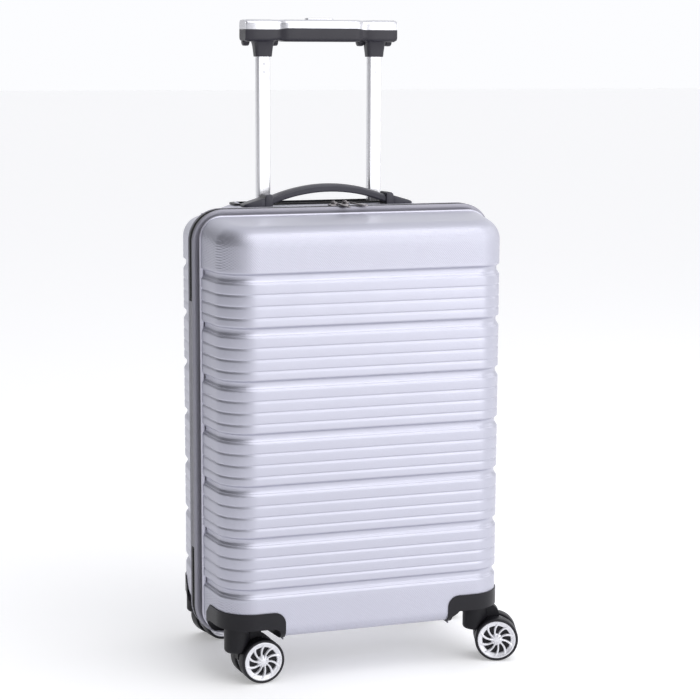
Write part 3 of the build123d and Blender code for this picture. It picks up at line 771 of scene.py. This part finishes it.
piece("grip_cover", *loft(grip_sections(True)), "trolley_grip", "silver_plastic", COVER, ["grip_cover"], 45)


def collar(s):
    """Tapered neck from the grip down to a tube."""
    sections = ((723.9, 9.6, 7.0, 3.0), (724.2, 10.2, 7.5, 3.4), (730, 10.8, 8.2, 4.0),
                (737, 11.6, 9.2, 4.5), (741, 12.6, 10.4, 5.0), (744, 14.6, 12.2, 6.0),
                (746.5, 17.5, 13.6, 7.0))
    return loft([[(s * TUBE_X + x, TUBE_Y + y, z) for x, y in rounded(w, d, r, 6)]
                 for z, w, d, r in sections])


def lug(x, width):
    """Rounded rear lug under the grip's end."""
    loops = []
    for k, w in ((-1, 0.75), (-0.8, 0.95), (0, 1.0), (0.8, 0.95), (1, 0.75)):
        loop = []
        for j in range(20):
            a = ROUND * j / 20
            loop.append((x + k * width, TUBE_Y + 6.5 + 6.2 * w * math.cos(a), 742.2 + 5.6 * w * math.sin(a)))
        loops.append(loop)
    return loft(loops)


grip_parts = [loft(grip_sections(False)), collar(-1), collar(1)]
grip_parts += [lug(x, 4.0) for x in (-91, -55, 55, 91)]
piece("grip_body", *join(*grip_parts), "trolley_grip", "grip_plastic", GRIP_BLACK, ["grip_body"], 45)

button_loops = []
for z, shrink in ((763.7, 0.0), (769.4, 0.0), (769.9, 0.25), (770.2, 0.7), (770.3, 1.6)):
    button_loops.append([(x, TUBE_Y + y, z) for x, y in rounded(17.2 - shrink, 5.4 - shrink, 2.2, 5)])
piece("grip_button", *loft(button_loops), "release", "silver_plastic", COVER, ["grip_button"], 45)

# ---------------------------------------------------------------- carry handle
def strap_mesh():
    """Bowed rubber grip with eased edges."""
    loops = []
    for k in range(49):
        x = lerp(-76.5, 76.5, k / 48)
        f = 1 - (x / 77.0) ** 2
        top, bottom = 556.4 + 16.1 * f, 547.4 + 15.3 * f
        half = 10.6 - 1.4 * f
        section = ((half, bottom + 1.5), (half, top - 3.2), (half - 1.0, top - 1.6), (half - 4.2, top - 0.3),
                   (0, top), (-half + 4.2, top - 0.3), (-half + 1.0, top - 1.6), (-half, top - 3.2),
                   (-half, bottom + 1.5), (-half + 1.5, bottom), (0, bottom), (half - 1.5, bottom))
        loops.append([(x, CARRY_Y + u, v) for u, v in section])
    return loft(loops, flip=True)


def cap_mesh(s):
    """Rubber end cap: low outer toe, notch, and raised collar round the grip's end."""
    # Distance from the middle, top height, half width.
    stations = ((107.6, 547.3, 5.0), (107.2, 548.6, 8.0), (105.6, 549.7, 10.5), (102, 551.1, 12.0),
                (96, 552.9, 12.4), (87, 555.5, 12.4), (83.4, 556.6, 12.4), (82.6, 556.2, 12.1),
                (81.9, 556.6, 12.1), (81.2, 559.4, 12.7), (79.6, 560.6, 12.8), (74.0, 561.2, 12.8),
                (72.7, 560.8, 12.6), (72.3, 559.6, 12.0))
    loops = []
    for x, top, half in stations:
        r = min(2.6, (top - CARRY_BASE) * 0.6, half * 0.6)
        loop = [(s * x, CARRY_Y + half, CARRY_BASE), (s * x, CARRY_Y + half, top - r)]
        for j in range(1, 5):
            a = math.pi / 2 * j / 4
            loop.append((s * x, CARRY_Y + half - r + r * math.cos(a), top - r + r * math.sin(a)))
        loop += [(x0, CARRY_Y - (y0 - CARRY_Y), z0) for x0, y0, z0 in loop[::-1]]
        loops.append(loop)
    return loft(loops, flip=s < 0)


piece("carry_strap", *strap_mesh(), "case_back", "strap_rubber", RUBBER, ["carry_strap"], 28)
piece("carry_cap_left", *cap_mesh(-1), "case_back", "strap_rubber", RUBBER, ["carry_cap_left"], 35)
piece("carry_cap_right", *cap_mesh(1), "case_back", "strap_rubber", RUBBER, ["carry_cap_right"], 35)


# ---------------------------------------------------------------- zip sliders and pulls
# Each pull: X of its slider, turn and droop in degrees, length.
PULLS = {"left": (-11.8, -52.0, 12.0, 25.0), "right": (2.5, -30.0, 8.0, 29.0)}
PIVOT_Z = 554.2


def pull_point(x0, turn, drop, p):
    """Point given along, across and above a pull, from its pivot."""
    a, d = math.radians(turn), math.radians(drop)
    along = p[0] * math.cos(d) + p[2] * math.sin(d)
    z = -p[0] * math.sin(d) + p[2] * math.cos(d)
    c, s = math.cos(a), math.sin(a)
    return (x0 + along * c - p[1] * s, along * s + p[1] * c, PIVOT_Z + z)


def outline_slab(outer, inner, half_t, place):
    """Slab with a hole: matching outlines, lightly rounded edges."""
    n = len(outer)
    loops = []
    for ring, shrink in ((outer, 1), (inner, -1)):
        cx = sum(p[0] for p in ring) / n
        steps = ((-half_t, 0.35), (-half_t * 0.5, 0.0), (half_t * 0.5, 0.0), (half_t, 0.35))
        for z, cut in (steps if shrink > 0 else steps[::-1]):
            loop = []
            for x, y in ring:
                size = math.hypot(x - cx, y) or 1
                k = 1 - shrink * cut / size
                loop.append(place((cx + (x - cx) * k, y * k, z)))
            loops.append(loop)
    return loft(loops + [loops[0]], caps=False)


def torus(r_ring, r_wire, place, stretch):
    """Wire ring standing on the first and third axes, stretched along the first."""
    n, m = 28, 10
    loops = []
    for j in range(m):
        b = ROUND * j / m
        reach, y = r_ring + r_wire * math.cos(b), r_wire * math.sin(b)
        turns = [ROUND * k / n for k in range(n)]
        loops.append([place((reach * math.cos(a) * stretch, y, reach * math.sin(a))) for a in turns])
    return loft(loops + [loops[0]], caps=False)


def pull_mesh(x0, turn, drop, length):
    """Teardrop tab with a hole at its tip, and a bow that hangs in the slider's bail."""
    n = 40
    outer, inner = [], []
    for k in range(n):
        a = ROUND * k / n
        c, s = math.cos(a), math.sin(a)
        wide = 3.5 - 0.6 * c
        outer.append((length / 2 + 3.4 + (length / 2 - 3.2) * c, (wide + 0.5 * c) * s))
        inner.append((length - 3.6 + 1.7 * c, 1.5 * s))

    def place(p):
        return pull_point(x0, turn, drop, p)

    tab = outline_slab(outer, inner, 0.8, place)
    bow = torus(2.6, 0.75, lambda p: place((p[0] + 2.6, p[2], p[1])), stretch=1.15)
    return join(tab, bow)


def slider_mesh(x0, turn):
    """Slider body with waisted sides, top plate and bail."""
    loops = []
    for z, grow in ((550.05, -0.5), (550.4, 0.0), (551.5, 0.0), (552.1, -0.8)):
        loop = []
        for x, y in rounded(5.6 + grow, 4.4 + grow, 2.2, 5):
            loop.append((x0 + x, y * (1 - 0.16 * math.exp(-(x / 2.2) ** 2)), z))
        loops.append(loop)
    crown = []
    for z, grow in ((552.0, 0.0), (552.7, 0.0), (553.0, -0.6)):
        plate = rounded(3.6 + grow, 1.8 + grow, 1.4, 4)
        crown.append([pull_point(x0, turn, 0, (x, y, z - PIVOT_Z)) for x, y in plate])
    bail = torus(1.75, 0.62, lambda p: pull_point(x0, turn, 0, p), stretch=1.25)
    return join(loft(loops), loft(crown), bail)


for name, (x0, turn, drop, length) in PULLS.items():
    slider, pull = f"zip_slider_{name}", f"zip_pull_{name}"
    piece(slider, *slider_mesh(x0, turn), f"slider_{name}", "nickel", NICKEL, [slider], 50)
    piece(pull, *pull_mesh(x0, turn, drop, length), f"pull_{name}", "nickel", NICKEL, [pull], 50)

# ---------------------------------------------------------------- casters
WHEEL_STEPS = 72
SPOKES = 10


def caster_place(corner):
    """X and Y of a caster's swivel, and its turn in radians."""
    side_y = -1 if corner.startswith("front") else 1
    side_x = -1 if corner.endswith("left") else 1
    turn = math.radians(CASTER_TURN[corner])
    return side_x * SWIVEL_X, SWIVEL_Y[side_y], turn


def wheel_point(corner, s, r, a, out):
    """Point of a wheel at radius r, angle a and distance out from the wheel pair's middle."""
    x0, y0, turn = caster_place(corner)
    x, y, z = TRAIL + r * math.cos(a) * s, s * out, WHEEL_R + r * math.sin(a)
    c, si = math.cos(turn), math.sin(turn)
    return (x0 + x * c - y * si, y0 + x * si + y * c, z)


def turned(corner, s, profile):
    """Part of a wheel from a profile of (radius, distance out)."""
    turns = [ROUND * k / WHEEL_STEPS for k in range(WHEEL_STEPS)]
    return loft([[wheel_point(corner, s, r, a, out) for a in turns] for r, out in profile], False, True)


def spoke(corner, s, start, face):
    """Swept blade from the hub's middle to its rim."""
    loops = []
    for j in range(11):
        t = j / 10
        r = lerp(3.5, 21.0, t)
        a = start + 0.42 * t ** 1.6
        wide = (0.85 + 0.35 * t + 0.9 * t ** 4) / r
        crown = face - 0.35 - 0.25 * t
        section = ((-1.25, face - 3.5), (-1, crown - 0.5), (-0.45, crown), (0.45, crown), (1, crown - 0.5),
                   (1.25, face - 3.5))
        loops.append([wheel_point(corner, s, r, a + wide * share, out) for share, out in section])
    return loft(loops)


def hub_mesh(corner, s):
    """Spoked wheel disc, with a dark floor between the spokes; the list tells which faces are dark."""
    face = WHEEL_GAP + WHEEL_W
    ring = turned(corner, s, [(4.2, 6.8), (22.6, 6.8), (23.1, 7.4), (23.15, face - 1.6), (22.9, face - 0.6),
                              (22.2, face - 0.3), (21.2, face - 0.45), (20.6, face - 0.9),
                              (18.6, face - 1.25), (17.6, face - 1.6), (17.2, face - 2.4),
                              (17.0, face - 4.4)])
    recess = turned(corner, s, [(r, face - 4.2) for r in (17.05, 6.0, 0.4)])
    cap = turned(corner, s, [(7.4, face - 4.4), (7.2, face - 2.6), (6.2, face - 1.6), (4.6, face - 1.0),
                             (2.6, face - 0.5), (0.05, face - 0.3)])
    parts = [ring, recess, cap]
    parts += [spoke(corner, s, ROUND * k / SPOKES, face) for k in range(SPOKES)]
    verts, faces = join(*parts)
    dark = [int(part is recess) for part in parts for _ in part[1]]
    return verts, faces, dark


def tyre_mesh(corner, s):
    """Tread with rounded shoulders."""
    g, w, r = WHEEL_GAP, WHEEL_W, WHEEL_R
    return turned(corner, s, [(23.2, g + 0.3), (25.0, g), (25.9, g + 0.5), (r, g + 1.6), (r, g + w - 1.8),
                              (26.0, g + w - 0.9), (25.5, g + w - 0.3), (24.7, g + w), (23.6, g + w - 0.1),
                              (23.2, g + w - 0.6), (23.2, g + 0.3)])


for corner in CASTER_TURN:
    for s, letter in ((-1, "a"), (1, "b")):
        body, hub, tyre = (f"{part}_{corner}_{letter}" for part in ("wheel", "hub", "tyre"))
        verts, faces, dark = hub_mesh(corner, s)
        piece(hub, verts, faces, body, "hub_plastic", HUB, [hub], 35, [HUB, FORK], dark)
        piece(tyre, *tyre_mesh(corner, s), body, "tyre", TYRE, [tyre], 45)
    repaint(f"caster_fork_{corner}", FORK)
    repaint(f"wheel_housing_{corner}", BLACK)

for node in ("front_inner_frame", "back_inner_frame"):
    repaint(node, FRAME_BLACK)
for node in ("handle_well", "tube_bracket", "middle_tube_collars", "release_bridge", "strap_buckle"):
    repaint(node, BLACK)
for node in ("outer_tubes", "middle_tubes", "inner_tubes"):
    repaint(node, TUBE)
repaint("tube_rivets", STEEL)

# ---------------------------------------------------------------- stage, light and camera
FLOOR_SIZE, FLOOR_Z = 60.0, -0.0004            # in metres; just under the tyres
# World flags: direction, cosine where one starts and where it is full, light it leaves.
FLAGS = (((-0.98, -0.1, 0.0), 0.0, 0.7, 0.03), ((0.93, 0.3, 0.0), 0.84, 0.99, 0.35))
CAMERA_AT = (-740.1, -2159.5, 735.4)
AZ, EL, ROLL = math.radians(-19.163), math.radians(8.94), math.radians(0.224)


def plane(name, size, z, material):
    """Flat square of the stage."""
    mesh = bpy.data.meshes.new(name)
    h = size / 2
    mesh.from_pydata([(-h, -h, z), (h, -h, z), (h, h, z), (-h, h, z)], [], [(0, 1, 2, 3)])
    mesh.materials.append(material)
    obj = bpy.data.objects.new(name, mesh)
    bpy.context.collection.objects.link(obj)


floor_material, floor_shader = node_material("studio_floor", (0.80, 0.80, 0.815), 0.8)
floor_shader.inputs["Emission Color"].default_value = (1, 1, 1, 1)
floor_shader.inputs["Emission Strength"].default_value = 0.345
plane("studio_floor", FLOOR_SIZE, FLOOR_Z, floor_material)


def softbox(name, at, look, size, power):
    """Rectangular light at a place, aimed at another; sizes in metres, power in watts."""
    light = bpy.data.lights.new(name, "AREA")
    light.shape = "RECTANGLE"
    light.size, light.size_y = size
    light.energy = power
    obj = bpy.data.objects.new(name, light)
    bpy.context.collection.objects.link(obj)
    obj.location = at
    obj.rotation_mode = "QUATERNION"
    obj.rotation_quaternion = (Vector(look) - Vector(at)).to_track_quat("-Z", "Y")


softbox("key_top", (0.6, -1.3, 2.5), (0, 0, 0.35), (2.2, 1.4), 20)
softbox("front_fill", (1.7, -3.0, 1.1), (0, 0, 0.3), (2.6, 2.2), 30)
softbox("right_rim", (2.4, 0.2, 1.2), (0, 0, 0.35), (1.0, 1.8), 6)


def studio_world():
    """Bright cove all round, with a dark flag on the object's left and a weaker one on its right."""
    world = bpy.data.worlds.new("studio")
    world.use_nodes = True
    tree = world.node_tree
    shade = tree.nodes["Background"]
    where = tree.nodes.new("ShaderNodeTexCoord")
    result = None
    for centre, start, full, left_over in FLAGS:
        toward = tree.nodes.new("ShaderNodeVectorMath")
        toward.operation = "DOT_PRODUCT"
        toward.inputs[1].default_value = centre
        tree.links.new(where.outputs["Generated"], toward.inputs[0])
        flag = tree.nodes.new("ShaderNodeMapRange")
        flag.interpolation_type = "SMOOTHSTEP"
        for key, number in (("From Min", start), ("From Max", full), ("To Min", 1.0), ("To Max", left_over)):
            flag.inputs[key].default_value = number
        tree.links.new(toward.outputs["Value"], flag.inputs["Value"])
        if result:
            both = tree.nodes.new("ShaderNodeMath")
            both.operation = "MULTIPLY"
            tree.links.new(result, both.inputs[0])
            tree.links.new(flag.outputs["Result"], both.inputs[1])
            result = both.outputs[0]
        else:
            result = flag.outputs["Result"]
    tree.links.new(result, shade.inputs["Strength"])
    shade.inputs["Color"].default_value = (0.975, 0.98, 1.0, 1)
    bpy.context.scene.world = world


studio_world()
bpy.context.scene.view_settings.view_transform = "Standard"

back = Vector((math.sin(AZ) * math.cos(EL), -math.cos(AZ) * math.cos(EL), math.sin(EL)))
right = Vector((math.cos(AZ), math.sin(AZ), 0))
up = back.cross(right)
rolled_right = right * math.cos(ROLL) + up * math.sin(ROLL)
rolled_up = -right * math.sin(ROLL) + up * math.cos(ROLL)
camera = bpy.data.objects.new("camera", bpy.data.cameras.new("camera"))
bpy.context.collection.objects.link(camera)
camera.data.lens = 98.95
camera.data.sensor_width = 36.0
camera.data.clip_end = 100
turn = Matrix((rolled_right, rolled_up, back)).transposed().to_4x4()
camera.matrix_world = Matrix.Translation(Vector(row(CAMERA_AT))) @ turn
bpy.context.scene.camera = camera
